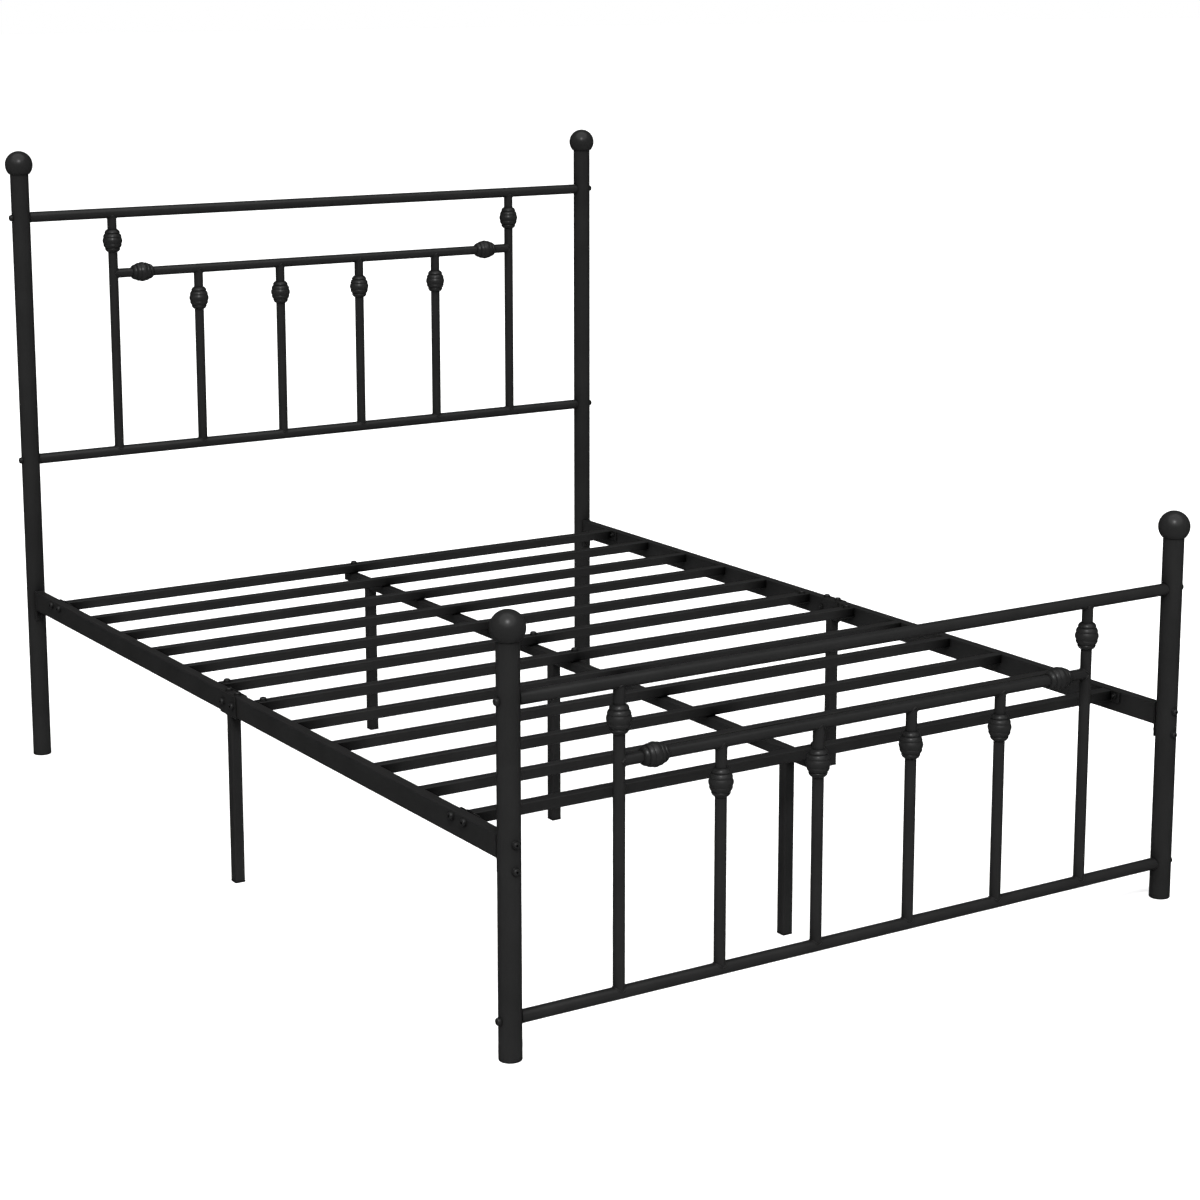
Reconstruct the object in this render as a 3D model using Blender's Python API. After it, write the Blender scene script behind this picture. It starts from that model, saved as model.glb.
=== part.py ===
"""Metal bed frame: two tubular grille ends on round posts, two-piece side rails and twelve slats.

Metres, +Z up. The origin is on the floor under the middle of the bed, the headboard is at +Y and
the left side (seen from the foot) is at -X. Every tube is hollow and every separate piece is a
node of its own. Pieces that touch keep a gap of TOUCH_GAP.
"""
import math

import bpy
from mathutils import Matrix, Vector

# Driving dimensions -------------------------------------------------------------------------
TOUCH_GAP = 0.0003
TUBE_WALL = 0.0012

POST_SPACING_X = 1.380
POST_SPACING_Y = 1.970
POST_RADIUS = 0.019
HEAD_POST_TOP = 1.2458
FOOT_POST_TOP = 0.6711
POST_CAP_THICKNESS = 0.004
POST_CAP_PLUG = 0.018
POST_CAP_EDGE = 0.0012

FINIAL_RADIUS = 0.0285
FINIAL_SEAT_DROP = 0.0192          # the ball's centre above its flat seat
FINIAL_STEM_RADIUS = 0.0170
FINIAL_STEM_LENGTH = 0.020
FINIAL_TIP_ANGLE = math.radians(12)     # where the ball's last ring is, from its top
FINIAL_TIP_RADIUS = 0.0015

RAIL_TUBE_RADIUS = 0.011           # top and bottom rail of each grille
BALUSTER_RADIUS = 0.010            # balusters and the mid rail
BALUSTER_PITCH = 0.1956
BALUSTER_COUNT = 6
MID_KNOB_X = 0.424

KNOB_LENGTH = 0.048
KNOB_RADIUS = 0.0209
KNOB_HALF_PROFILE = ((0.0, 1.0), (0.29, 0.90), (0.645, 0.74), (1.0, 0.55))  # shares from its middle

SIDE_RAIL_WIDTH = 0.020
SIDE_RAIL_HEIGHT = 0.040
SIDE_RAIL_TOP = 0.362
END_PLATE_WIDTH = 0.020
END_PLATE_THICKNESS = 0.003
END_PLATE_BOTTOM = 0.300
CORNER_BOLT_HEIGHTS = (0.3107, 0.3532)

SLAT_COUNT = 12
SLAT_PITCH = 0.1538
SLAT_HEIGHT = 0.0185
SLAT_WIDTH = 0.0185
CROSS_BAR_WIDTH = 0.0228           # the four slats that are bolted down
CROSS_BARS = (1, 6, 7, 12)
SLAT_TENON = 0.004                 # how far a plain slat enters its pocket in the rail
POCKET_TOP = SIDE_RAIL_TOP - 2 * TUBE_WALL
FLANGE_LENGTH = 0.060
FLANGE_HEIGHT = 0.021
FLANGE_THICKNESS = 0.003
LEDGE_SLAT = 6                     # counted from the rail's own end of the bed
LEDGE_DEPTH = 0.026
LEDGE_THICKNESS = 0.002

BEAM_SIZE = 0.020
BEAM_TOP = 0.3415
BEAM_HALF_LENGTH = 0.872
JOINER_LENGTH = 0.120

LEG_SIZE = 0.020
LEG_CAP_THICKNESS = 0.004
LEG_CAP_PLUG = 0.015
CENTRE_LEG_Y = 0.7685
SADDLE_LENGTH = 0.066
SADDLE_WALL = 0.0015
STUD_RADIUS = 0.004
STUD_LENGTH = 0.010

BOLT_HEAD_RADIUS = 0.0065
BOLT_HEAD_HEIGHT = 0.0058
BOLT_HEAD_STEPS = ((0.0, 0.55), (0.22, 0.86), (0.45, 1.0))  # (share of its height, share of its radius)
BOLT_RADIUS = 0.003
BOLT_HOLE_RADIUS = 0.0035
PANEL_BOLT_REACH = 0.012           # past the inner side of the post, into the rail
NUT_RADIUS = 0.0055
NUT_HEIGHT = 0.005

POST_SIDES = 24
TUBE_SIDES = 12
KNOB_SIDES = 12
BALL_SIDES = 16
BOLT_SIDES = 8

PANELS = {
    "head": {"sign": 1, "post_top": HEAD_POST_TOP, "top": 1.1558, "mid": 1.0272, "bottom": 0.6444,
             "outer_knob": 1.0973, "inner_knob": 0.9627},
    "foot": {"sign": -1, "post_top": FOOT_POST_TOP, "top": 0.5779, "mid": 0.4492, "bottom": 0.0664,
             "outer_knob": 0.5180, "inner_knob": 0.3828},
}
SIDES = {"left": -1, "right": 1}

BLACK_POWDER_COAT = ("black_powder_coat", (0.014, 0.014, 0.015), 0.42, 0.30)
BLACK_PLASTIC = ("black_plastic", (0.011, 0.011, 0.012), 0.55, 0.0)
BLACK_OXIDE = ("black_oxide_steel", (0.016, 0.016, 0.017), 0.38, 0.80)


# Scene and materials ------------------------------------------------------------------------
def clear_scene():
    for obj in list(bpy.data.objects):
        bpy.data.objects.remove(obj, do_unlink=True)


def new_material(node_name, finish):
    base_name, colour, roughness, metallic = finish
    material = bpy.data.materials.new(f"{base_name}.{node_name}")
    material.use_nodes = True
    shader = material.node_tree.nodes["Principled BSDF"]
    shader.inputs["Base Color"].default_value = (*colour, 1.0)
    shader.inputs["Roughness"].default_value = roughness
    shader.inputs["Metallic"].default_value = metallic
    return material


def name_node(obj, node_name, finish, smooth_angle=None):
    """Gives a finished body its node name, material and shading."""
    obj.name = node_name
    obj.data.name = node_name
    obj.data.materials.clear()
    obj.data.materials.append(new_material(node_name, finish))
    if smooth_angle is not None:
        obj.data.shade_smooth()
        obj.data.set_sharp_from_angle(angle=math.radians(smooth_angle))
    return obj


# Shapes -------------------------------------------------------------------------------------
def new_body(vertices, faces):
    mesh = bpy.data.meshes.new("shape")
    mesh.from_pydata(vertices, [], faces)
    mesh.update()
    obj = bpy.data.objects.new("shape", mesh)
    bpy.context.scene.collection.objects.link(obj)
    return obj


def box(low, high):
    """A block between two opposite corners."""
    (x0, y0, z0), (x1, y1, z1) = low, high
    vertices = [(x, y, z) for z in (z0, z1) for x, y in ((x0, y0), (x1, y0), (x1, y1), (x0, y1))]
    faces = [(3, 2, 1, 0), (4, 5, 6, 7)]
    faces += [(i, (i + 1) % 4, (i + 1) % 4 + 4, i + 4) for i in range(4)]
    return new_body(vertices, faces)


def turned(profile, base, axis, sides, twist=0.0):
    """A solid of revolution; profile holds (distance along the axis, radius), base to tip."""
    place = Matrix.Translation(base) @ Vector(axis).to_track_quat("Z", "Y").to_matrix().to_4x4()
    vertices = []
    for distance, radius in profile:
        for i in range(sides):
            angle = 2.0 * math.pi * (i + twist) / sides
            vertices.append(place @ Vector((radius * math.cos(angle), radius * math.sin(angle), distance)))
    faces = [tuple(reversed(range(sides)))]
    for ring in range(len(profile) - 1):
        start = ring * sides
        for i in range(sides):
            j = (i + 1) % sides
            faces.append((start + i, start + j, start + sides + j, start + sides + i))
    last = (len(profile) - 1) * sides
    faces.append(tuple(range(last, last + sides)))
    return new_body(vertices, faces)


def rod(start, end, radius, sides, twist=0.0):
    start, end = Vector(start), Vector(end)
    return turned([(0.0, radius), ((end - start).length, radius)], start, end - start, sides, twist)


def combine(body, others, operation):
    """Applies one Boolean after another to body and removes the helper shapes."""
    for other in others:
        modifier = body.modifiers.new("combine", "BOOLEAN")
        modifier.operation = operation
        modifier.solver = "EXACT"
        modifier.object = other
    graph = bpy.context.evaluated_depsgraph_get()
    graph.update()
    mesh = bpy.data.meshes.new_from_object(body.evaluated_get(graph))
    body.modifiers.clear()
    body.data = mesh
    for other in others:
        bpy.data.objects.remove(other, do_unlink=True)
    return body


def unite(body, others):
    return combine(body, others, "UNION")


def carve(body, tools):
    return combine(body, tools, "DIFFERENCE")


# Round posts, their caps and finials --------------------------------------------------------
def post_centre(end, side):
    return SIDES[side] * POST_SPACING_X / 2, PANELS[end]["sign"] * POST_SPACING_Y / 2


def make_post(end, side):
    """An open tube, drilled for the two grille bolts (along X) and the two rail bolts (along Y)."""
    x, y = post_centre(end, side)
    top = PANELS[end]["post_top"]
    bottom = POST_CAP_THICKNESS + TOUCH_GAP
    reach = POST_RADIUS * 1.5
    post = rod((x, y, bottom), (x, y, top), POST_RADIUS, POST_SIDES)
    tools = [rod((x, y, bottom - reach), (x, y, top + reach), POST_RADIUS - TUBE_WALL, POST_SIDES)]
    for height in (PANELS[end]["top"], PANELS[end]["bottom"]):
        tools.append(rod((x - reach, y, height), (x + reach, y, height), BOLT_HOLE_RADIUS, BOLT_SIDES))
    for height in CORNER_BOLT_HEIGHTS:
        tools.append(rod((x, y - reach, height), (x, y + reach, height), BOLT_HOLE_RADIUS, BOLT_SIDES))
    name_node(carve(post, tools), f"post_{end}_{side}", BLACK_POWDER_COAT, 35)


def make_post_cap(end, side):
    """A plastic disc under the post with a plug inside it."""
    x, y = post_centre(end, side)
    plug = POST_RADIUS - TUBE_WALL - TOUCH_GAP
    profile = [(0.0, POST_RADIUS - POST_CAP_EDGE), (POST_CAP_EDGE, POST_RADIUS),
               (POST_CAP_THICKNESS, POST_RADIUS),
               (POST_CAP_THICKNESS, plug), (POST_CAP_PLUG, plug)]
    name_node(turned(profile, (x, y, 0.0), (0, 0, 1), POST_SIDES), f"post_cap_{end}_{side}",
              BLACK_PLASTIC, 35)


def make_finial(end, side):
    """A ball cut flat where it sits on the post, with a stem down inside the tube."""
    x, y = post_centre(end, side)
    seat = PANELS[end]["post_top"] + TOUCH_GAP
    rings = BALL_SIDES // 2
    start = math.acos(-FINIAL_SEAT_DROP / FINIAL_RADIUS)
    profile = [(-FINIAL_STEM_LENGTH, FINIAL_STEM_RADIUS), (0.0, FINIAL_STEM_RADIUS)]
    for i in range(rings + 1):
        angle = start + (FINIAL_TIP_ANGLE - start) * i / rings
        profile.append((FINIAL_SEAT_DROP + FINIAL_RADIUS * math.cos(angle), FINIAL_RADIUS * math.sin(angle)))
    profile.append((FINIAL_SEAT_DROP + FINIAL_RADIUS, FINIAL_TIP_RADIUS))
    name_node(turned(profile, (x, y, seat), (0, 0, 1), BALL_SIDES), f"finial_{end}_{side}",
              BLACK_PLASTIC, 35)


# Grilles ------------------------------------------------------------------------------------
def knob_profile():
    """A barrel that is the same towards both ends and widest in the middle."""
    half = KNOB_LENGTH / 2
    outward = [(along * half, wide * KNOB_RADIUS) for along, wide in KNOB_HALF_PROFILE]
    inward = [(half - along, radius) for along, radius in reversed(outward)]
    return inward + [(half + along, radius) for along, radius in outward[1:]]


def knob(centre, direction):
    base = Vector(centre) - Vector(direction) * (KNOB_LENGTH / 2)
    return turned(knob_profile(), base, direction, KNOB_SIDES)


def baluster_positions():
    middle = (BALUSTER_COUNT - 1) / 2
    return [(i - middle) * BALUSTER_PITCH for i in range(BALUSTER_COUNT)]


def grille_tubes(panel):
    """(start, end, outer radius, twist) of every tube, rails first."""
    y = panel["sign"] * POST_SPACING_Y / 2
    end_x = POST_SPACING_X / 2 - POST_RADIUS - TOUCH_GAP
    columns = baluster_positions()
    tubes = [((-end_x, y, panel[rail]), (end_x, y, panel[rail]), RAIL_TUBE_RADIUS, 0.0)
             for rail in ("top", "bottom")]
    tubes.append(((columns[0], y, panel["mid"]), (columns[-1], y, panel["mid"]), BALUSTER_RADIUS, 0.5))
    for i, x in enumerate(columns):
        outermost = i in (0, BALUSTER_COUNT - 1)
        upper = panel["top"] if outermost else panel["mid"]
        tubes.append(((x, y, panel["bottom"]), (x, y, upper), BALUSTER_RADIUS, 0.0))
    return tubes


def grille_knobs(panel):
    y = panel["sign"] * POST_SPACING_Y / 2
    columns = baluster_positions()
    knobs = []
    for i, x in enumerate(columns):
        outermost = i in (0, BALUSTER_COUNT - 1)
        height = panel["outer_knob"] if outermost else panel["inner_knob"]
        knobs.append(knob((x, y, height), (0, 0, -1)))
    for x in (-MID_KNOB_X, MID_KNOB_X):
        knobs.append(knob((x, y, panel["mid"]), (1, 0, 0)))
    return knobs


def make_grille(end, node_name):
    """The welded end panel: rails, balusters and knobs in one piece, hollow through every tube."""
    panel = PANELS[end]
    tubes = grille_tubes(panel)
    solids = [rod(start, stop, radius, TUBE_SIDES, twist) for start, stop, radius, twist in tubes]
    body = unite(solids[0], solids[1:] + grille_knobs(panel))
    bores = []
    for i, (start, stop, radius, twist) in enumerate(tubes):
        start, stop = Vector(start), Vector(stop)
        overrun = (stop - start).normalized() * (RAIL_TUBE_RADIUS if i < 2 else 0.0)
        bores.append(rod(start - overrun, stop + overrun, radius - TUBE_WALL, TUBE_SIDES, twist))
    name_node(carve(body, bores), node_name, BLACK_POWDER_COAT, 40)


# Side rails and cross bars ------------------------------------------------------------------
def slat_centre(number):
    return ((SLAT_COUNT + 1) / 2 - number) * SLAT_PITCH


def slat_width(number):
    return CROSS_BAR_WIDTH if number in CROSS_BARS else SLAT_WIDTH


def rail_end_y():
    """Where a rail's end plate faces its post."""
    return POST_SPACING_Y / 2 - POST_RADIUS - TOUCH_GAP


def make_side_rail(end, side):
    """Half a side rail: a box tube with a bolting plate at the post, pockets and a ledge for slats."""
    sign, x = PANELS[end]["sign"], SIDES[side] * POST_SPACING_X / 2
    inward = -SIDES[side]
    half, bottom = SIDE_RAIL_WIDTH / 2, SIDE_RAIL_TOP - SIDE_RAIL_HEIGHT
    far, near = rail_end_y(), TOUCH_GAP / 2

    def along(low_x, low_y, low_z, high_x, high_y, high_z):
        """A block given with y counted from the middle of the bed towards this end."""
        y0, y1 = sorted((sign * low_y, sign * high_y))
        x0, x1 = sorted((low_x, high_x))
        return box((x0, y0, low_z), (x1, y1, high_z))

    rail = along(x - half, near, bottom, x + half, far - END_PLATE_THICKNESS / 2, SIDE_RAIL_TOP)
    inner_face = x + inward * half
    plate = along(x - END_PLATE_WIDTH / 2, far - END_PLATE_THICKNESS, END_PLATE_BOTTOM,
                  x + END_PLATE_WIDTH / 2, far, SIDE_RAIL_TOP + TUBE_WALL)
    ledge_y, ledge_half = slat_centre(LEDGE_SLAT), slat_width(LEDGE_SLAT) / 2
    ledge_top = SIDE_RAIL_TOP - SLAT_HEIGHT - TOUCH_GAP
    ledge = along(inner_face - inward * TUBE_WALL / 2, ledge_y - ledge_half, ledge_top - LEDGE_THICKNESS,
                  inner_face + inward * LEDGE_DEPTH, ledge_y + ledge_half, ledge_top)
    unite(rail, [plate, ledge])

    bore_half = half - TUBE_WALL
    tools = [along(x - bore_half, -TUBE_WALL, bottom + TUBE_WALL,
                   x + bore_half, far - END_PLATE_THICKNESS, SIDE_RAIL_TOP - TUBE_WALL)]
    for number in range(2, LEDGE_SLAT):
        pocket_half = slat_width(number) / 2 + TOUCH_GAP
        y = slat_centre(number)
        tools.append(along(inner_face - inward * TUBE_WALL * 2, y - pocket_half,
                           SIDE_RAIL_TOP - SLAT_HEIGHT - TOUCH_GAP,
                           inner_face + inward * TUBE_WALL, y + pocket_half, POCKET_TOP))
    for height in CORNER_BOLT_HEIGHTS:
        y0, y1 = sorted((sign * (far + TUBE_WALL), sign * (far - 2 * END_PLATE_THICKNESS)))
        tools.append(rod((x, y0, height), (x, y1, height), BOLT_HOLE_RADIUS, BOLT_SIDES))
    name_node(carve(rail, tools), f"side_rail_{end}_{side}", BLACK_POWDER_COAT)


def square_tube(axis, centre, start, stop, width, height):
    """An open box tube along X or Y; centre is its middle in the two other directions."""
    def block(inset, overrun):
        across, up = width / 2 - inset, height / 2 - inset
        if axis == "x":
            y, z = centre
            return box((start - overrun, y - across, z - up), (stop + overrun, y + across, z + up))
        x, z = centre
        return box((x - across, start - overrun, z - up), (x + across, stop + overrun, z + up))
    return carve(block(0.0, 0.0), [block(TUBE_WALL, TUBE_WALL)])


def make_slat(number):
    """A box-section cross tube; the end ones carry flanges that bolt to the side rails."""
    y, width = slat_centre(number), slat_width(number)
    middle = SIDE_RAIL_TOP - SLAT_HEIGHT / 2
    plain = number not in CROSS_BARS
    shoulder = POST_SPACING_X / 2 - SIDE_RAIL_WIDTH / 2 - TOUCH_GAP
    end_x = shoulder + SLAT_TENON if plain else shoulder
    slat = square_tube("x", (y, middle), -end_x, end_x, width, SLAT_HEIGHT)
    if plain:
        carve(slat, [tenon_notch(side, y, width, shoulder, end_x) for side in SIDES.values()])
    if number in (1, SLAT_COUNT):
        unite(slat, [end_flange(side, y, shoulder) for side in SIDES.values()])
        carve(slat, [flange_opening(side, y, shoulder, width, middle) for side in SIDES.values()])
    name_node(slat, f"slat_{number:02d}", BLACK_POWDER_COAT)


def tenon_notch(side, y, width, shoulder, end_x):
    """Takes the top wall off a slat's end, so that it enters its pocket under the rail's top."""
    x0, x1 = sorted((side * shoulder, side * (end_x + TUBE_WALL)))
    return box((x0, y - width, POCKET_TOP - TOUCH_GAP), (x1, y + width, SIDE_RAIL_TOP + TUBE_WALL))


def end_flange(side, y, shoulder):
    x0, x1 = sorted((side * shoulder, side * (shoulder - FLANGE_THICKNESS)))
    return box((x0, y - FLANGE_LENGTH / 2, SIDE_RAIL_TOP - FLANGE_HEIGHT),
               (x1, y + FLANGE_LENGTH / 2, SIDE_RAIL_TOP))


def flange_opening(side, y, shoulder, width, middle):
    """Keeps the tube's bore open through its flange."""
    half, up = width / 2 - TUBE_WALL, SLAT_HEIGHT / 2 - TUBE_WALL
    x0, x1 = sorted((side * (shoulder - 2 * FLANGE_THICKNESS), side * (shoulder + FLANGE_THICKNESS)))
    return box((x0, y - half, middle - up), (x1, y + half, middle + up))


# Centre beam and legs -----------------------------------------------------------------------
def stud_tools(ys, low, high):
    return [rod((0.0, y, low), (0.0, y, high), STUD_RADIUS + TOUCH_GAP, BOLT_SIDES) for y in ys]


def make_centre_beam(end):
    """Half of the beam under the slats, drilled for the leg studs."""
    sign = PANELS[end]["sign"]
    start, stop = sorted((sign * TOUCH_GAP / 2, sign * BEAM_HALF_LENGTH))
    bottom = BEAM_TOP - BEAM_SIZE
    beam = square_tube("y", (0.0, BEAM_TOP - BEAM_SIZE / 2), start, stop, BEAM_SIZE, BEAM_SIZE)
    carve(beam, stud_tools((0.0, sign * CENTRE_LEG_Y), bottom - TUBE_WALL, bottom + 2 * TUBE_WALL))
    name_node(beam, f"centre_beam_{end}", BLACK_POWDER_COAT)


def make_beam_joiner():
    """The sleeve inside the beam, over the joint between its halves."""
    size = BEAM_SIZE - 2 * TUBE_WALL - 2 * TOUCH_GAP
    middle = BEAM_TOP - BEAM_SIZE / 2
    joiner = square_tube("y", (0.0, middle), -JOINER_LENGTH / 2, JOINER_LENGTH / 2, size, size)
    carve(joiner, stud_tools((0.0,), middle - size, middle - size / 2 + 2 * TUBE_WALL))
    name_node(joiner, "centre_beam_joiner", BLACK_OXIDE)


def leg_shell(x, y, top):
    """(solid, bore) of a square leg that is closed at the top and open at the foot."""
    half, bottom = LEG_SIZE / 2, LEG_CAP_THICKNESS + TOUCH_GAP
    inner = half - TUBE_WALL
    solid = box((x - half, y - half, bottom), (x + half, y + half, top))
    bore = box((x - inner, y - inner, bottom - TUBE_WALL), (x + inner, y + inner, top - TUBE_WALL))
    return solid, bore


def make_centre_leg(y, node_name):
    """A leg with a stud that screws into the beam."""
    top = BEAM_TOP - BEAM_SIZE - TOUCH_GAP
    solid, bore = leg_shell(0.0, y, top)
    stud = rod((0.0, y, top - TUBE_WALL / 2), (0.0, y, top + STUD_LENGTH), STUD_RADIUS, BOLT_SIDES)
    name_node(carve(unite(solid, [stud]), [bore]), node_name, BLACK_POWDER_COAT)


def make_side_leg(side):
    """A leg with a U-shaped saddle that clamps both halves of the side rail."""
    x = SIDES[side] * POST_SPACING_X / 2
    half = SIDE_RAIL_WIDTH / 2 + TOUCH_GAP
    seat = SIDE_RAIL_TOP - SIDE_RAIL_HEIGHT - TOUCH_GAP
    outer = half + SADDLE_WALL
    end = SADDLE_LENGTH / 2
    saddle = box((x - outer, -end, seat - SADDLE_WALL), (x + outer, end, SIDE_RAIL_TOP))
    solid, bore = leg_shell(x, 0.0, seat - SADDLE_WALL / 2)
    slot = box((x - half, -end - SADDLE_WALL, seat),
               (x + half, end + SADDLE_WALL, SIDE_RAIL_TOP + SADDLE_WALL))
    name_node(carve(unite(saddle, [solid]), [slot, bore]), f"leg_{side}", BLACK_POWDER_COAT)


def make_leg_cap(x, y, node_name):
    """A plastic foot with a plug inside the leg."""
    half = LEG_SIZE / 2
    plug = half - TUBE_WALL - TOUCH_GAP
    foot = box((x - half, y - half, 0.0), (x + half, y + half, LEG_CAP_THICKNESS))
    core = box((x - plug, y - plug, LEG_CAP_THICKNESS / 2), (x + plug, y + plug, LEG_CAP_PLUG))
    name_node(unite(foot, [core]), node_name, BLACK_PLASTIC)


# Bolts --------------------------------------------------------------------------------------
def bolt_profile(length, nut_start=None):
    """A dome head at the base, then the shank, with a nut on it where one is asked for."""
    profile = [(down * BOLT_HEAD_HEIGHT, wide * BOLT_HEAD_RADIUS) for down, wide in BOLT_HEAD_STEPS]
    profile += [(BOLT_HEAD_HEIGHT, BOLT_HEAD_RADIUS), (BOLT_HEAD_HEIGHT, BOLT_RADIUS)]
    if nut_start is not None:
        profile += [(nut_start, BOLT_RADIUS), (nut_start, NUT_RADIUS),
                    (nut_start + NUT_HEIGHT, NUT_RADIUS), (nut_start + NUT_HEIGHT, BOLT_RADIUS)]
    profile.append((length, BOLT_RADIUS))
    return profile


def make_panel_bolt(end, side, level):
    """Runs inwards through the post into the end of a grille rail."""
    x, y = post_centre(end, side)
    head_offset = POST_RADIUS + TOUCH_GAP + BOLT_HEAD_HEIGHT
    base = (x + SIDES[side] * head_offset, y, PANELS[end][level])
    length = head_offset + POST_RADIUS + PANEL_BOLT_REACH
    body = turned(bolt_profile(length), base, (-SIDES[side], 0, 0), BOLT_SIDES)
    name_node(body, f"panel_bolt_{end}_{side}_{level}", BLACK_OXIDE, 35)


def make_corner_bolt(end, side, level, height):
    """Runs through the post and the rail's end plate to its nut."""
    x, y = post_centre(end, side)
    sign = PANELS[end]["sign"]
    head_offset = POST_RADIUS + TOUCH_GAP + BOLT_HEAD_HEIGHT
    nut_start = head_offset + POST_RADIUS + END_PLATE_THICKNESS + 2 * TOUCH_GAP
    profile = bolt_profile(nut_start + NUT_HEIGHT + BOLT_RADIUS, nut_start)
    body = turned(profile, (x, y + sign * head_offset, height), (0, -sign, 0), BOLT_SIDES)
    name_node(body, f"corner_bolt_{end}_{side}_{level}", BLACK_OXIDE, 35)


# Assembly -----------------------------------------------------------------------------------
def build_corners():
    for end in PANELS:
        for side in SIDES:
            make_post(end, side)
            make_post_cap(end, side)
            make_finial(end, side)
            make_side_rail(end, side)
            for level in ("top", "bottom"):
                make_panel_bolt(end, side, level)
            for level, height in zip(("lower", "upper"), CORNER_BOLT_HEIGHTS):
                make_corner_bolt(end, side, level, height)


def build_supports():
    for side in SIDES:
        make_side_leg(side)
        make_leg_cap(SIDES[side] * POST_SPACING_X / 2, 0.0, f"leg_cap_{side}")
    for label, y in (("head", CENTRE_LEG_Y), ("middle", 0.0), ("foot", -CENTRE_LEG_Y)):
        make_centre_leg(y, f"leg_centre_{label}")
        make_leg_cap(0.0, y, f"leg_cap_centre_{label}")
    for end in PANELS:
        make_centre_beam(end)
    make_beam_joiner()


def main():
    clear_scene()
    make_grille("head", "headboard_grille")
    make_grille("foot", "footboard_grille")
    build_corners()
    for number in range(1, SLAT_COUNT + 1):
        make_slat(number)
    build_supports()


main()
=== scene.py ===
"""Black metal bed frame: the visible surfaces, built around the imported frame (metres, +Z up).

The headboard is at +Y and the left side at -X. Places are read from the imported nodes' boxes
wherever a box gives them. The named dimensions below give the rest.
"""

import math

import bmesh
import bpy
from mathutils import Matrix, Vector


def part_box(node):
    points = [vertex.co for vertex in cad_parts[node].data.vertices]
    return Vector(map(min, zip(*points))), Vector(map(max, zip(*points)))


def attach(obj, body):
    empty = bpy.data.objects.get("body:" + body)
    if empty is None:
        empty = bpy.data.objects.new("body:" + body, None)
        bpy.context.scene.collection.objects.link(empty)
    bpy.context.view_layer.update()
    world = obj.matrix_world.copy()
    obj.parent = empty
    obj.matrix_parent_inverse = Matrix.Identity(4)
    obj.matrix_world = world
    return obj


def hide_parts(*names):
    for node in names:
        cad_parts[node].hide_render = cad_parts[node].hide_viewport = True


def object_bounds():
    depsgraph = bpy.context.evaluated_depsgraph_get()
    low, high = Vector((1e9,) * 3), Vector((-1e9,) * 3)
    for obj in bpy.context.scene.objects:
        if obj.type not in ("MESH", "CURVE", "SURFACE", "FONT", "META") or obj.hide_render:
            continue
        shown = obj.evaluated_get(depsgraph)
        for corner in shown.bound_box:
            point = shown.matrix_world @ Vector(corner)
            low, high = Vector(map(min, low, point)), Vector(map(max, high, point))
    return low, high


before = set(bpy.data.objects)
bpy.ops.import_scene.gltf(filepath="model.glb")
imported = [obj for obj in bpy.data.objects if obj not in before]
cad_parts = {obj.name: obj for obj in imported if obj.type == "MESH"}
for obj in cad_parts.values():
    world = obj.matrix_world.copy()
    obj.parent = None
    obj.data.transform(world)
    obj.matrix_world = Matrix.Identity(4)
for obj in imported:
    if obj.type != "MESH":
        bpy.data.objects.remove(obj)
CAD_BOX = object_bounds()

ENDS = {"head": 1, "foot": -1}
SIDES = {"left": -1, "right": 1}
X_AXIS, Y_AXIS, Z_AXIS = Vector((1, 0, 0)), Vector((0, 1, 0)), Vector((0, 0, 1))

# Camera
LENS, SENSOR, LENS_SHIFT = 80.69, 36.0, -0.10
CAMERA_PLACE = (-2.7022, -4.3738, 1.6690)
CAMERA_HEADING, CAMERA_PITCH = 32.726, 10.811       # degrees clockwise of +Y, degrees down

# Tubes
TOUCH_GAP = 0.0003                  # kept between neighbouring pieces
TUBE_WALL = 0.0012
POST_RADIUS = 0.019
FINIAL_RADIUS = 0.0285
FINIAL_RELIEF = 0.0004              # height of the fine line between a ball and its post

# Grilles
RAIL_RADIUS = 0.011                 # top and bottom rail of each grille
SPIGOT_RADIUS = 0.0088              # the rail's turned-down end, which shows as a fine line
RAIL_END_GAP = 0.0011
BALUSTER_RADIUS = 0.010             # balusters and mid rail
BALUSTER_PITCH = 0.1956
BALUSTER_COUNT = 6
MID_RAIL_DROP = 0.1286              # below the top rail
MID_KNOB_X = 0.424
KNOB_DROPS = {"head": (0.0585, 0.0645), "foot": (0.0599, 0.0664)}  # outer below top, inner below mid
KNOB_LENGTH = 0.048
KNOB_GROOVES = ((0.0070, 0.0189), (0.0155, 0.0154), (0.0240, 0.0108))  # (from its middle, radius)
KNOB_SWELLS = (0.0022, 0.0015, 0.0020, 0.0015, 0.0022)  # how far each ring stands over its grooves
KNOB_UNDERCUT = 0.0009              # how far its hollow ends go in

# Side rails, slats and beam
RAIL_WIDTH, RAIL_HEIGHT, RAIL_CORNER = 0.020, 0.040, 0.0024
PLATE_THICKNESS = 0.003             # of the rail's bolting plate at its post
PLATE_WIDTH = 0.0196                # every welded plate is a touch narrower than its tube
PLATE_EDGE, SMALL_EDGE = 0.0008, 0.0005             # edge radii of plates and of smaller pieces
LEDGE_DEPTH, LEDGE_THICKNESS = 0.026, 0.002
SLAT_COUNT = 12
CROSS_BARS = (1, 6, 7, 12)          # the wide slats, counted from the head
SLAT_CORNER = 0.0018
LEDGE_BOLT_X = 0.667                # the middle cross bars' bolts at the side rails
FLANGE_THICKNESS = 0.003
FLANGE_BOLT_REACH, FLANGE_BOLT_DROP = 0.020, 0.0087  # from the slat's axis, below its top
SQUARE_CORNER = 0.0020              # of the legs' and the beam's tube

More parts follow.
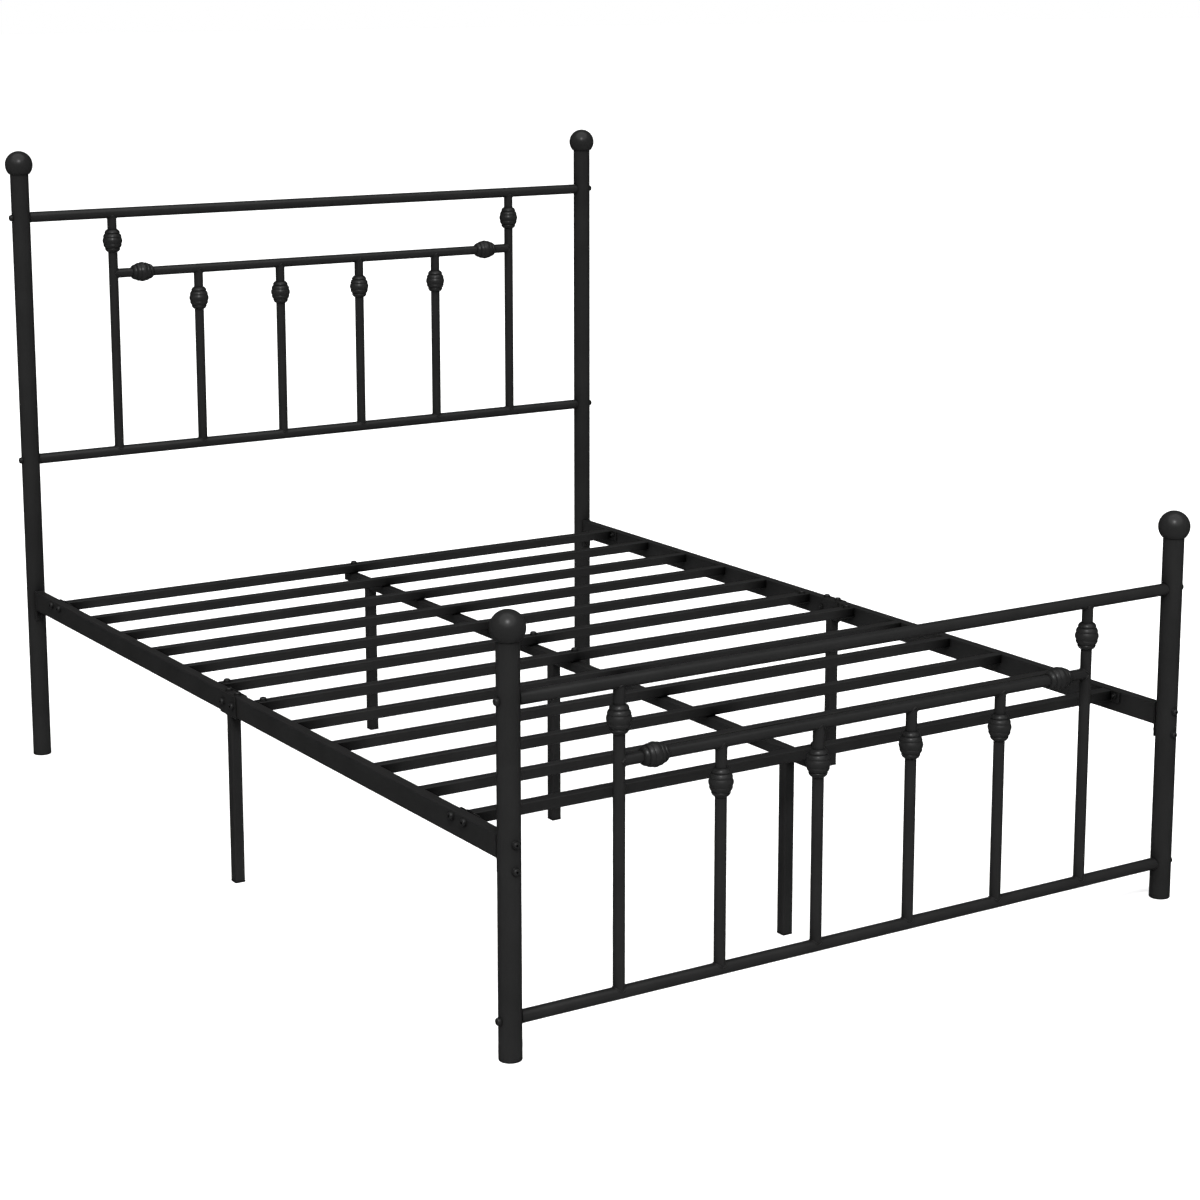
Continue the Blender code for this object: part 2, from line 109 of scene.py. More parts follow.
# Legs
CENTRE_LEGS = ("head", "middle", "foot")
LEG_WIDTH = 0.020
LEG_CAP_THICKNESS = 0.004
SADDLE_WALL, SADDLE_BEND = 0.0015, 0.0022
SADDLE_REBATE = 0.006               # the saddle's ends are thin and stand off the rail
SIDE_BOLT_REACH, SIDE_BOLT_DROP = 0.0207, 0.0195    # the saddle's bolts through the rail
TOP_BOLT_REACH = 0.0185             # and through its top

# Fasteners and welds
WELD_RADIUS = 0.0013                # of the grilles' weld beads
PLATE_WELD, FLANGE_WELD, COLLAR_WELD = 0.0007, 0.0010, 0.0011
WIDE_HEAD = (0.0065, 0.0050, 0.0071)    # (head radius, head height, washer radius)
SMALL_HEAD = (0.0054, 0.0048, 0.0066)
WASHER_HEIGHT = 0.0011
HEAD_FULLNESS = 3.6                 # exponent of the heads' rounded side; a plain dome has 2
SOCKET_SHARE = 0.34                 # half the hexagon socket's width over the head's radius
SHANK_RADIUS = 0.0030
NUT_HALF_FLATS = 0.0050
NUT_HEIGHT = 0.0048

ROUND_SIDES = 64
TUBE_SIDES = 40
BOLT_SIDES = 36


# Camera, light and floor --------------------------------------------------------------------
def make_camera():
    """The low three-quarter view from beyond the foot's left corner."""
    data = bpy.data.cameras.new("camera")
    data.sensor_width = SENSOR
    data.lens = LENS
    data.shift_y = LENS_SHIFT
    data.clip_start = 0.05
    data.clip_end = 200.0
    camera = bpy.data.objects.new("camera", data)
    bpy.context.scene.collection.objects.link(camera)
    camera.location = CAMERA_PLACE
    heading, pitch = math.radians(CAMERA_HEADING), math.radians(CAMERA_PITCH)
    camera.rotation_euler = (math.pi / 2 - pitch, 0.0, -heading)
    bpy.context.scene.camera = camera
    return camera


def area_light(name, location, target, size, power):
    """A round lamp of a given diameter, aimed at a point."""
    data = bpy.data.lights.new(name, "AREA")
    data.shape = "DISK"
    data.size = size
    data.energy = power
    light = bpy.data.objects.new(name, data)
    bpy.context.scene.collection.objects.link(light)
    light.location = location
    light.rotation_mode = "QUATERNION"
    light.rotation_quaternion = (Vector(target) - Vector(location)).to_track_quat("-Z", "Y")


def white_world(fill):
    """White behind everything; as a light it is only a dim fill, which keeps dark edges dark."""
    world = bpy.data.worlds.new("studio")
    bpy.context.scene.world = world
    world.use_nodes = True
    nodes, links = world.node_tree.nodes, world.node_tree.links
    background = nodes["Background"]
    background.inputs["Color"].default_value = (1.0, 1.0, 1.0, 1.0)
    rays = nodes.new("ShaderNodeLightPath")
    strength = nodes.new("ShaderNodeMapRange")
    strength.inputs["To Min"].default_value = fill
    strength.inputs["To Max"].default_value = 1.0
    links.new(rays.outputs["Is Camera Ray"], strength.inputs["Value"])
    links.new(strength.outputs["Result"], background.inputs["Strength"])


def soft_sun(name, source, strength, spread):
    """A very wide sun; source points from the bed to its middle, and spread is its width in degrees."""
    data = bpy.data.lights.new(name, "SUN")
    data.energy = strength
    data.angle = math.radians(spread)
    light = bpy.data.objects.new(name, data)
    bpy.context.scene.collection.objects.link(light)
    light.rotation_mode = "QUATERNION"
    light.rotation_quaternion = Vector(source).to_track_quat("Z", "Y")


def make_floor(colour, glow):
    """A pale floor just under the feet; its faint glow keeps the contact shadows soft."""
    mesh = bpy.data.meshes.new("floor")
    reach, drop = 60.0, 0.0004
    corners = ((-reach, -reach), (reach, -reach), (reach, reach), (-reach, reach))
    mesh.from_pydata([(x, y, -drop) for x, y in corners], [], [(0, 1, 2, 3)])
    floor = bpy.data.objects.new("floor", mesh)
    bpy.context.scene.collection.objects.link(floor)
    material = bpy.data.materials.new("pale_floor")
    material.use_nodes = True
    shader = material.node_tree.nodes["Principled BSDF"]
    shader.inputs["Base Color"].default_value = (colour, colour, colour, 1.0)
    shader.inputs["Roughness"].default_value = 0.9
    shader.inputs["Specular IOR Level"].default_value = 0.1
    shader.inputs["Emission Color"].default_value = (1.0, 1.0, 1.0, 1.0)
    shader.inputs["Emission Strength"].default_value = glow
    mesh.materials.append(material)
    floor.visible_glossy = False        # the coat doesn't mirror it
    floor.visible_shadow = False


def make_studio(camera):
    """A wide soft light overhead, a small key light above the camera and a pale floor."""
    bpy.context.scene.view_settings.view_transform = "Standard"
    white_world(0.04)
    x, y = camera.location.x, camera.location.y
    soft_sun("overhead", source=(x, y, 10.3), strength=5.2, spread=90.0)
    centre = (CAD_BOX[0] + CAD_BOX[1]) / 2
    area_light("key", (x, y, 5.3), centre, size=1.2, power=400.0)
    make_floor(colour=0.92, glow=0.15)


# Materials ----------------------------------------------------------------------------------
def painted_corner_shade(nodes, links, colour, painted_shade):
    """Painted shade: the colour made darker in corners and grooves, as far as nearby surfaces hide the
    open sky.

    The last argument gives the painted shade as (how far around a point counts, how strongly).
    """
    # painted shade: ambient occlusion darkens the base colour near other surfaces
    open_sky = nodes.new("ShaderNodeAmbientOcclusion")
    open_sky.samples = 12
    open_sky.inputs["Distance"].default_value = painted_shade[0]
    deepen = nodes.new("ShaderNodeMath")
    deepen.operation = "POWER"
    deepen.inputs[1].default_value = painted_shade[1]
    links.new(open_sky.outputs["AO"], deepen.inputs[0])
    shade = nodes.new("ShaderNodeMix")
    shade.data_type = "RGBA"
    shade.inputs["A"].default_value = (0.0, 0.0, 0.0, 1.0)
    links.new(colour, shade.inputs["B"])
    links.new(deepen.outputs["Value"], shade.inputs["Factor"])
    return shade.outputs["Result"]


def grained_material(name, colour, roughness, specular, grain, mottle, painted_shade):
    """A dark finish with a fine bump, slow colour drift, uneven gloss and painted shade in corners.

    grain is (scale, strength, depth) of the bump; mottle is (colour spread, roughness spread);
    the last argument is the painted corner shade, as (how far around a point counts, how strongly).
    """
    material = bpy.data.materials.new(name)
    material.use_nodes = True
    nodes, links = material.node_tree.nodes, material.node_tree.links
    shader = nodes["Principled BSDF"]
    shader.inputs["Specular IOR Level"].default_value = specular
    place = nodes.new("ShaderNodeTexCoord")

    def noise(scale, detail):
        node = nodes.new("ShaderNodeTexNoise")
        node.inputs["Scale"].default_value = scale
        node.inputs["Detail"].default_value = detail
        links.new(place.outputs["Object"], node.inputs["Vector"])
        return node.outputs["Fac"]

    def spread(source, low, high):
        node = nodes.new("ShaderNodeMapRange")
        node.inputs["From Min"].default_value = 0.3
        node.inputs["From Max"].default_value = 0.7
        node.inputs["To Min"].default_value = low
        node.inputs["To Max"].default_value = high
        links.new(source, node.inputs["Value"])
        return node.outputs["Result"]

    tint = nodes.new("ShaderNodeMix")
    tint.data_type = "RGBA"
    darker, lighter = 1.0 - mottle[0], 1.0 + mottle[0]
    tint.inputs["A"].default_value = (*[c * darker for c in colour], 1.0)
    tint.inputs["B"].default_value = (*[c * lighter for c in colour], 1.0)
    links.new(spread(noise(14.0, 4.0), 0.0, 1.0), tint.inputs["Factor"])
    # the base colour carries painted shade in corners and grooves
    links.new(painted_corner_shade(nodes, links, tint.outputs["Result"], painted_shade), shader.inputs["Base Color"])
    gloss = spread(noise(45.0, 3.0), roughness - mottle[1], roughness + mottle[1])
    links.new(gloss, shader.inputs["Roughness"])
    bump = nodes.new("ShaderNodeBump")
    bump.inputs["Strength"].default_value = grain[1]
    bump.inputs["Distance"].default_value = grain[2]
    links.new(noise(grain[0], 2.0), bump.inputs["Height"])
    links.new(bump.outputs["Normal"], shader.inputs["Normal"])
    return material


def make_materials():
    """The three finishes, and the frame's coat once more for the slats, with deep painted shade at
    their ends.

    Each is (colour, roughness, specular, grain, mottle, painted corner shade).
    """
    coat = ((0.0092, 0.0092, 0.0092), 0.30, 0.088, (700.0, 0.12, 0.00012), (0.10, 0.02))
    plastic = ((0.0075, 0.0075, 0.0075), 0.42, 0.10, (1600.0, 0.20, 0.00006), (0.10, 0.03))
    steel = ((0.0086, 0.0086, 0.0086), 0.36, 0.09, (2400.0, 0.15, 0.00004), (0.15, 0.06))
    # the last entry of each is painted shade in corners and creases, as (reach, strength)
    finishes = {
        "black_powder_coat": (*coat, (0.05, 1.3)),
        # the same coat with a much stronger painted shade, which darkens the slats' ends beside the
        # rails
        "slat_coat_painted_end_shade": (*coat, (0.07, 5.0)),
        "black_plastic": (*plastic, (0.02, 1.5)),
        "black_oxide_steel": (*steel, (0.006, 2.0)),
    }
    return {name: grained_material(name, *finish) for name, finish in finishes.items()}


MATERIALS = make_materials()


# Shapes -------------------------------------------------------------------------------------
class Shape:
    """Vertices and faces that grow as parts are added."""

    def __init__(self):
        self.vertices = []
        self.faces = []

    def add(self, vertices, faces):
        start = len(self.vertices)
        self.vertices.extend(vertices)
        self.faces.extend(tuple(start + i for i in face) for face in faces)
        return self

    def join(self, *others):
        for other in others:
            self.add(other.vertices, other.faces)
        return self


def local_frame(origin, direction, up=None):
    """A matrix whose Z runs along direction and whose Y is as near to up as it can be."""
    z = Vector(direction).normalized()
    up = Vector(up) if up is not None else (Z_AXIS if abs(z.z) < 0.9 else Y_AXIS)
    x = up.cross(z).normalized()
    y = z.cross(x)
    rotation = Matrix((x, y, z)).transposed().to_4x4()
    return Matrix.Translation(Vector(origin)) @ rotation


def skin(rings, closed=False):
    """Quads between successive rings of equal length, given as lists of points, with capped ends.

    closed joins the last ring to the first in place of the caps.
    """
    count = len(rings[0])
    shape = Shape()
    vertices = [point for ring in rings for point in ring]
    faces = []
    total = len(rings)
    for r in range(total if closed else total - 1):
        a, b = r * count, ((r + 1) % total) * count
        for i in range(count):
            j = (i + 1) % count
            faces.append((a + i, a + j, b + j, b + i))
    if not closed:
        for start, flip in ((0, True), ((total - 1) * count, False)):
            centre = sum((vertices[start + i] for i in range(count)), Vector()) / count
            vertices.append(centre)
            hub = len(vertices) - 1
            for i in range(count):
                j = (i + 1) % count
                faces.append((start + j, start + i, hub) if flip else (start + i, start + j, hub))
    return shape.add(vertices, faces)


def revolved(profile, origin, direction, sides=ROUND_SIDES, closed=False):
    """Rings about an axis; each profile entry is (distance along it, radius or radius of an angle)."""
    place = local_frame(origin, direction)
    rings = []
    for distance, radius in profile:
        ring = []
        for i in range(sides):
            angle = 2.0 * math.pi * i / sides
            r = radius(angle) if callable(radius) else radius
            ring.append(place @ Vector((r * math.cos(angle), r * math.sin(angle), distance)))
        rings.append(ring)
    return skin(rings, closed)


def rounded_outline(width, height, radius, steps=5):
    """Anticlockwise points of a rectangle with round corners, about its centre."""
    points = []
    for corner, (sx, sy) in enumerate(((1, 1), (-1, 1), (-1, -1), (1, -1))):
        cx, cy = sx * (width / 2 - radius), sy * (height / 2 - radius)
        for k in range(steps + 1):
            angle = math.pi / 2 * (corner + k / steps)
            points.append((cx + radius * math.cos(angle), cy + radius * math.sin(angle)))
    return points


def box_tube(start, stop, up, width, height, radius, wall=TUBE_WALL, edge=0.0004):
    """A rounded box tube between two points, open at both ends, with softened rims."""
    start, stop = Vector(start), Vector(stop)
    length = (stop - start).length
    place = local_frame(start, stop - start, up)

    def ring(inset, distance):
        outline = rounded_outline(width - 2 * inset, height - 2 * inset, max(radius - inset, 0.0006))
        return [place @ Vector((x, y, distance)) for x, y in outline]

    rings = [ring(edge, 0.0), ring(0.0, edge), ring(0.0, length - edge), ring(edge, length),
             ring(wall, length), ring(wall, 0.0)]
    return skin(rings, closed=True)


def soft_block(low, high, radius=0.0006, segments=3):
    """A block with rounded edges between two corners."""
    low, high = Vector(low), Vector(high)
    mesh = bmesh.new()
    bmesh.ops.create_cube(mesh, size=1.0)
    size = high - low
    middle = (low + high) / 2
    for vertex in mesh.verts:
        vertex.co = Vector((vertex.co[i] * size[i] + middle[i] for i in range(3)))
    bmesh.ops.bevel(mesh, geom=list(mesh.edges), offset=radius, segments=segments,
                    affect="EDGES", profile=0.5)
    mesh.verts.index_update()
    shape = Shape().add([v.co.copy() for v in mesh.verts],
                        [[v.index for v in f.verts] for f in mesh.faces])
    mesh.free()
    return shape


def bead(path, radius, sides=8):
    """A weld bead along a closed path, with the ripple that the arc leaves."""
    count = len(path)
    rings = []
    for i, point in enumerate(path):
        along = (path[(i + 1) % count] - path[i - 1]).normalized()
        place = local_frame(point, along)
        swell = radius * (1.0 + 0.10 * math.cos(i * math.pi / 2))
        rings.append([place @ Vector((swell * math.cos(a), swell * math.sin(a), 0.0))
                      for a in (2.0 * math.pi * k / sides for k in range(sides))])
    return skin(rings, closed=True)


def hexagon(half_flats):
    """Radius of a hexagon at an angle."""
    def radius(angle):
        turn = (angle + math.pi / 6) % (math.pi / 3) - math.pi / 6
        return half_flats / math.cos(turn)
    return radius


def piece(name, shapes, slot="black_powder_coat", nodes=(), smooth=35, finish=None):
    """Makes one object from shapes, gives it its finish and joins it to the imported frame.

    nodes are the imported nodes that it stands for. Edges sharper than smooth degrees stay sharp.
    """
    shape = Shape().join(*shapes)
    mesh = bpy.data.meshes.new(name)
    mesh.from_pydata([tuple(v) for v in shape.vertices], [], shape.faces)
    mesh.update()
    work = bmesh.new()
    work.from_mesh(mesh)
    bmesh.ops.recalc_face_normals(work, faces=list(work.faces))
    work.to_mesh(mesh)
    work.free()
    mesh.shade_smooth()
    mesh.set_sharp_from_angle(angle=math.radians(smooth))
    mesh.materials.append(MATERIALS[finish or slot])
    obj = bpy.data.objects.new(name, mesh)
    bpy.context.scene.collection.objects.link(obj)
    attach(obj, "root")
    if nodes:
        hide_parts(*nodes)
    evener = obj.modifiers.new("even_shading", "WEIGHTED_NORMAL")
    evener.keep_sharp = True


# Places read from the frame -----------------------------------------------------------------
def middle(node):
    low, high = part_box(node)
    return (low + high) / 2


def post_axis(end, side):
    centre = middle(f"post_{end}_{side}")
    return centre.x, centre.y


def level(end, row):
    """Height of a grille's top or bottom rail: its panel bolts are on the rail's axis."""
    return middle(f"panel_bolt_{end}_left_{row}").z


RAIL_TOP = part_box("slat_06")[1].z       # the slats and the side rails are level on top
RAIL_BOTTOM = RAIL_TOP - RAIL_HEIGHT
SLAT_PLACES = {n: middle(f"slat_{n:02d}").y for n in range(1, SLAT_COUNT + 1)}


# Fasteners ----------------------------------------------------------------------------------
def dome_head(seat, direction, head=WIDE_HEAD):
    """A washer and a domed head with a hexagon socket; direction points out of the surface."""
    radius, height, washer_radius = head
    socket = hexagon(radius * SOCKET_SHARE)
    washer = [(0.0, washer_radius), (WASHER_HEIGHT * 0.6, washer_radius),
              (WASHER_HEIGHT, washer_radius - WASHER_HEIGHT * 0.4)]
    dome = [(WASHER_HEIGHT * 0.9, radius * 0.97)]
    steps, rim = 12, radius * 0.5
    last = (1.0 - (rim / radius) ** HEAD_FULLNESS) ** (1.0 / HEAD_FULLNESS)
    for k in range(steps + 1):
        share = math.sin(math.pi / 2 * k / steps)
        outward = (1.0 - (share * last) ** HEAD_FULLNESS) ** (1.0 / HEAD_FULLNESS)
        dome.append((WASHER_HEIGHT + height * share, radius * outward))
    top = WASHER_HEIGHT + height
    dome.append((top, socket))
    dome.append((top - height * 0.5, socket))
    return Shape().join(revolved(washer, seat, direction, BOLT_SIDES),
                        revolved(dome, seat, direction, BOLT_SIDES))


def hex_nut(seat, direction, tail=0.003, scale=1.0):
    """A chamfered nut standing on a surface, with the bolt's threaded end through it."""
    flats, shank_radius = NUT_HALF_FLATS * scale, SHANK_RADIUS * scale
    full = hexagon(flats)
    height, bevel = NUT_HEIGHT * scale, 0.0006 * scale

    def cut(angle):
        return min(full(angle), flats * 1.03)

    nut = [(0.0, cut), (bevel, full), (height - bevel, full), (height, cut),
           (height, shank_radius), (height - bevel, shank_radius * 0.9)]
    end = height + tail
    bolt = [(height - 2 * bevel, shank_radius * 0.95)]
    crest, root = 0.98, 0.86
    half_turns = 8
    for k in range(half_turns):
        wide = crest if k % 2 else root
        bolt.append((height - bevel + (tail - bevel) * k / half_turns, shank_radius * wide))
    bolt.append((end - bevel * 0.5, shank_radius * root))
    bolt.append((end, shank_radius * 0.6))
    return Shape().join(revolved(nut, seat, direction, BOLT_SIDES),
                        revolved(bolt, seat, direction, BOLT_SIDES))


def shank(start, stop):
    """A bolt's plain middle between two points."""
    start, stop = Vector(start), Vector(stop)
    profile = [(0.0, SHANK_RADIUS), ((stop - start).length, SHANK_RADIUS)]
    return revolved(profile, start, stop - start, BOLT_SIDES)


# Posts --------------------------------------------------------------------------------------
def make_post(end, side):
    """A round tube, open at both ends, with softened rims."""
    x, y = post_axis(end, side)
    low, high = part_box(f"post_{end}_{side}")
    length, edge = high.z - low.z, 0.0006
    bore = POST_RADIUS - TUBE_WALL
    profile = [(0.0, POST_RADIUS - edge * 0.6), (edge, POST_RADIUS), (length - edge, POST_RADIUS),
               (length, POST_RADIUS - edge * 0.6), (length, bore), (0.0, bore)]
    piece(f"post_{end}_{side}_tube", [revolved(profile, (x, y, low.z), Z_AXIS, closed=True)],
          nodes=[f"post_{end}_{side}"])


def make_post_cap(end, side):
    """A moulded foot: a disc with a rounded rim, a fine groove and a ribbed plug."""
    x, y = post_axis(end, side)
    node = f"post_cap_{end}_{side}"
    low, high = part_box(node)
    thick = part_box(f"post_{end}_{side}")[0].z - low.z - TOUCH_GAP
    rim = thick * 0.4
    profile = [(0.0, POST_RADIUS - rim)]
    steps = 5
    for k in range(1, steps + 1):
        angle = math.pi / 2 * k / steps
        profile.append((rim * (1 - math.cos(angle)), POST_RADIUS - rim + rim * math.sin(angle)))
    plug = POST_RADIUS - TUBE_WALL - TOUCH_GAP
    profile += [(thick - 0.0003, POST_RADIUS), (thick, POST_RADIUS - 0.0003), (thick, plug)]
    ribs = 4
    for k in range(ribs):
        start = thick + (high.z - thick) * (k + 0.3) / (ribs + 0.5)
        profile += [(start, plug), (start + 0.0006, plug - 0.0008), (start + 0.0018, plug)]
    profile.append((high.z - low.z, plug - 0.0008))
    piece(f"{node}_moulding", [revolved(profile, (x, y, low.z), Z_AXIS)], "black_plastic", [node])


def make_finial(end, side):
    """A ball with a small relief over its seat, where it meets the post in a fine dark line."""
    x, y = post_axis(end, side)
    node = f"finial_{end}_{side}"
    low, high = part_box(node)
    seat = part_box(f"post_{end}_{side}")[1].z
    centre = high.z - FINIAL_RADIUS
    stem = POST_RADIUS - TUBE_WALL - 0.0004
    drop = centre - seat - FINIAL_RELIEF
    start = math.acos(-drop / FINIAL_RADIUS)
    profile = [(low.z - seat, stem - 0.001), (low.z - seat + 0.001, stem), (0.0002, stem),
               (0.0002, POST_RADIUS - 0.0012), (FINIAL_RELIEF, POST_RADIUS - 0.0008)]
    steps = 40
    for k in range(steps):
        angle = start * (1.0 - k / steps)
        profile.append((centre - seat + FINIAL_RADIUS * math.cos(angle),
                        FINIAL_RADIUS * math.sin(angle)))
    tip = start / steps * 0.35
    profile.append((centre - seat + FINIAL_RADIUS * math.cos(tip), FINIAL_RADIUS * math.sin(tip)))
    piece(f"{node}_ball", [revolved(profile, (x, y, seat), Z_AXIS)], nodes=[node])


# Grilles ------------------------------------------------------------------------------------
def coped_tube(start, stop, radius, cope_start, cope_stop):
    """A tube in the grille's plane whose ends fit the round tubes that they meet."""
    start, stop = Vector(start), Vector(stop)
    direction = (stop - start).normalized()
    place = local_frame(start, direction, Y_AXIS)
    length = (stop - start).length

    def ring(at, cope, inward):
        points = []
        for i in range(TUBE_SIDES):
            angle = 2.0 * math.pi * i / TUBE_SIDES
            across, depth = radius * math.cos(angle), radius * math.sin(angle)
            shift = math.sqrt(max(cope * cope - depth * depth, 0.0)) * inward
            points.append(place @ Vector((across, depth, at + shift)))
        return points

    return skin([ring(0.0, cope_start, 1), ring(length, cope_stop, -1)])


def cope_bead(joint, direction, radius, cope):
    """The weld round a coped end: direction runs from the joint along the tube."""
    place = local_frame(joint, direction, Y_AXIS)
    path = []
    count = 48
    for i in range(count):
        angle = 2.0 * math.pi * i / count
        across, depth = radius * math.cos(angle), radius * math.sin(angle)
        path.append(place @ Vector((across, depth, math.sqrt(max(cope * cope - depth * depth, 0.0)))))
    return bead(path, WELD_RADIUS)


def knob_profile():
    """A barrel of five turned rings, the same towards both ends."""
    half = KNOB_LENGTH / 2
    grooves = [(half - along, radius) for along, radius in reversed(KNOB_GROOVES)]
    grooves += [(half + along, radius) for along, radius in KNOB_GROOVES]
    bore = BALUSTER_RADIUS - 0.0005
    profile = [(KNOB_UNDERCUT, bore)]
    steps = 12
    for (start, low), (stop, high), swell in zip(grooves, grooves[1:], KNOB_SWELLS):
        fullness = 1.7 if low == high else 3.0
        for k in range(steps + 1):
            share = k / steps
            rise = swell * (1.0 - abs(2.0 * share - 1.0) ** fullness)
            profile.append((start + (stop - start) * share, low + (high - low) * share + rise))
    profile.append((KNOB_LENGTH - KNOB_UNDERCUT, bore))
    return profile


def knob(centre, direction):
    """A turned knob threaded on a tube that runs in the given direction."""
    base = Vector(centre) - Vector(direction) * (KNOB_LENGTH / 2)
    return revolved(knob_profile(), base, direction, closed=True)


def baluster_columns():
    """The balusters' places along X, from left to right."""
    half = (BALUSTER_COUNT - 1) / 2
    return [(i - half) * BALUSTER_PITCH for i in range(BALUSTER_COUNT)]


def make_grille(end, node):
    """Three rails, six balusters and eight knobs, with a weld wherever two tubes meet."""
    y = middle(node).y
    top, bottom = level(end, "top"), level(end, "bottom")
    mid = top - MID_RAIL_DROP
    outer_drop, inner_drop = KNOB_DROPS[end]
    left, right = post_axis(end, "left")[0], post_axis(end, "right")[0]
    columns = baluster_columns()
    for row, height in (("top", top), ("bottom", bottom)):
        tube, spigot = [coped_tube((left, y, height), (right, y, height), radius, cope, cope)
                        for radius, cope in ((RAIL_RADIUS, POST_RADIUS + RAIL_END_GAP),
                                             (SPIGOT_RADIUS, POST_RADIUS + 0.0001))]
        piece(f"{end}_{row}_rail", [tube, spigot], nodes=[node])
    tube = coped_tube((columns[0], y, mid), (columns[-1], y, mid), BALUSTER_RADIUS,
                      BALUSTER_RADIUS, BALUSTER_RADIUS)
    welds = [cope_bead((columns[0], y, mid), X_AXIS, BALUSTER_RADIUS, BALUSTER_RADIUS),
             cope_bead((columns[-1], y, mid), -X_AXIS, BALUSTER_RADIUS, BALUSTER_RADIUS)]
    piece(f"{end}_mid_rail", [tube], nodes=[node])
    for i, x in enumerate(columns):
        outermost = i in (0, BALUSTER_COUNT - 1)
        upper, cope = (top, RAIL_RADIUS) if outermost else (mid, BALUSTER_RADIUS)
        tube = coped_tube((x, y, bottom), (x, y, upper), BALUSTER_RADIUS, RAIL_RADIUS, cope)
        piece(f"{end}_baluster_{i + 1}", [tube], nodes=[node])
        welds.append(cope_bead((x, y, bottom), Z_AXIS, BALUSTER_RADIUS, RAIL_RADIUS))
        welds.append(cope_bead((x, y, upper), -Z_AXIS, BALUSTER_RADIUS, cope))
        height = top - outer_drop if outermost else mid - inner_drop
        piece(f"{end}_knob_{i + 1}", [knob((x, y, height), -Z_AXIS)], nodes=[node], smooth=50)
    for label, x in (("left", -MID_KNOB_X), ("right", MID_KNOB_X)):
        piece(f"{end}_mid_knob_{label}", [knob((x, y, mid), X_AXIS)], nodes=[node], smooth=50)
    piece(f"{end}_grille_welds", welds, nodes=[node], smooth=60)


# Side rails ---------------------------------------------------------------------------------
def make_side_rail(end, side):
    """Half a side rail, welded to the plate that is bolted to the post."""
    node = f"side_rail_{end}_{side}"
    sign = ENDS[end]
    x = post_axis(end, side)[0]
    low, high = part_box(node)
    near, far = sorted((abs(low.y), abs(high.y)))
    seam_y = sign * (far - PLATE_THICKNESS)
    z = RAIL_BOTTOM + RAIL_HEIGHT / 2
    tube = box_tube((x, sign * near, z), (x, seam_y, z), Z_AXIS, RAIL_WIDTH, RAIL_HEIGHT, RAIL_CORNER)
    y0, y1 = sorted((seam_y, sign * far))
    plate = soft_block((x - PLATE_WIDTH / 2, y0, low.z),
                       (x + PLATE_WIDTH / 2, y1, RAIL_TOP + TUBE_WALL), PLATE_EDGE)
    path = [Vector((x + px, seam_y, z + pz))
            for px, pz in rounded_outline(RAIL_WIDTH, RAIL_HEIGHT, RAIL_CORNER, 12)]
    piece(f"{node}_tube", [tube], nodes=[node])
    piece(f"{node}_plate", [plate, bead(path, PLATE_WELD)], nodes=[node])


def make_ledges():
    """Small lugs inside the rails that carry the ends of the two middle cross bars."""
    for number, end in ((6, "head"), (7, "foot")):
        y = SLAT_PLACES[number]
        low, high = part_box(f"slat_{number:02d}")
        width, top = high.y - low.y, low.z - TOUCH_GAP
        for side, sign in SIDES.items():
            inner = abs(post_axis(end, side)[0]) - RAIL_WIDTH / 2
            x0, x1 = sorted((sign * (inner + 0.0002), sign * (inner - LEDGE_DEPTH)))
            ledge = soft_block((x0, y - width / 2, top - LEDGE_THICKNESS),
                               (x1, y + width / 2, top), SMALL_EDGE)
            piece(f"ledge_{number:02d}_{side}", [ledge])


# Slats --------------------------------------------------------------------------------------
def make_slat(number):
    """A box tube across the bed; the first and last have a flange at both ends."""
    node = f"slat_{number:02d}"
    low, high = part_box(node)
    y = SLAT_PLACES[number]
    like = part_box("slat_06" if number in CROSS_BARS else "slat_02")
    width, height = like[1].y - like[0].y, like[1].z - like[0].z
    z = RAIL_TOP - height / 2
    tube = box_tube((low.x, y, z), (high.x, y, z), Z_AXIS, width, height, SLAT_CORNER)
    # the slats take the coat with painted shade at their ends
    piece(f"{node}_tube", [tube], nodes=[node], finish="slat_coat_painted_end_shade")
    if number in (1, SLAT_COUNT):
        flanges = []
        for sign in SIDES.values():
            x0, x1 = sorted((sign * high.x, sign * (high.x - FLANGE_THICKNESS)))
            flanges.append(soft_block((x0, low.y, low.z), (x1, high.y, high.z), PLATE_EDGE))
            path = [Vector((sign * (high.x - FLANGE_THICKNESS - 0.0002), y + py, z + pz))
                    for py, pz in rounded_outline(width, height, SLAT_CORNER, 10)]
            flanges.append(bead(path, FLANGE_WELD))
        piece(f"{node}_flanges", flanges, nodes=[node])


def make_slat_bolts():
    """Bolts down through the cross bars into the beam and into the ledges."""
    shapes = []
    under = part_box("slat_06")[0].z - TOUCH_GAP - LEDGE_THICKNESS
    for number in CROSS_BARS:
        y = SLAT_PLACES[number]
        shapes.append(dome_head((0.0, y, RAIL_TOP), Z_AXIS))
        if number in (6, 7):
            for sign in SIDES.values():
                x = sign * LEDGE_BOLT_X
                shapes.append(dome_head((x, y, RAIL_TOP), Z_AXIS))
                shapes.append(hex_nut((x, y, under), -Z_AXIS, scale=0.85))
    piece("slat_bolts", shapes, "black_oxide_steel")


